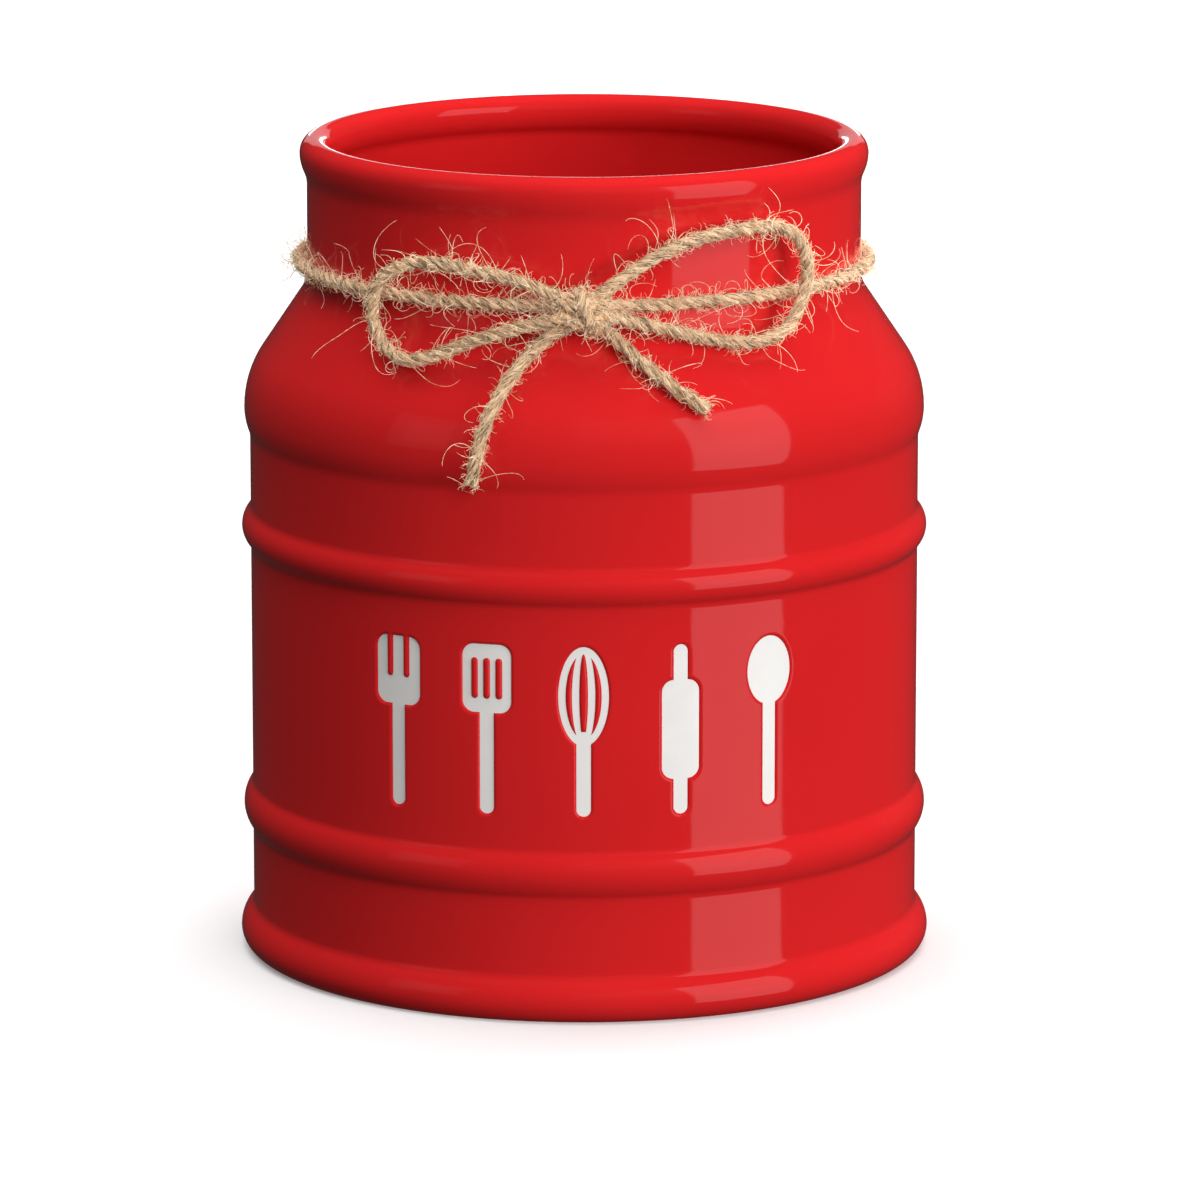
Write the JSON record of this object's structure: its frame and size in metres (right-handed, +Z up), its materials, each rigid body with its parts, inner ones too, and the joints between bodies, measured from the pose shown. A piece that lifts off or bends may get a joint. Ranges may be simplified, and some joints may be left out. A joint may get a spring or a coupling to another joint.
{
  "type": "utensil crock",
  "caption": "Glazed stoneware crock in the shape of a milk can, with rolled rim, raised hoops, white utensil pictograms and a jute bow tied round the neck; holds kitchen utensils.",
  "frame": {"origin": "on the table, at the middle of the foot ring", "axes": "+Z up along the crock's axis; -Y is the front, where the bow and the pictograms are; +X is to the right as seen from the front"},
  "size_m": [0.1484, 0.1484, 0.176],
  "materials": {
    "red_glaze": "high gloss red glaze on stoneware",
    "white_glaze": "gloss white glaze",
    "jute": "three-ply twisted jute, matte and hairy"
  },
  "bodies": {
    "crock": {"crock_body": "red_glaze", "fill_fork": "white_glaze", "fill_turner": "white_glaze", "fill_whisk": "white_glaze", "fill_rolling_pin": "white_glaze", "fill_spoon": "white_glaze"},
    "twine": {"twine_wrap": "jute", "bow_knot": "jute", "bow_loop_left": "jute", "bow_loop_right": "jute", "bow_tail_left": "jute", "bow_tail_right": "jute"}
  },
  "joints": [
    {"name": "twine_turn", "type": "hinge", "parent": "crock", "child": "twine", "pos_m": [0, 0, 0.1496], "axis": [0, 0, 1], "continuous": true}
  ]
}
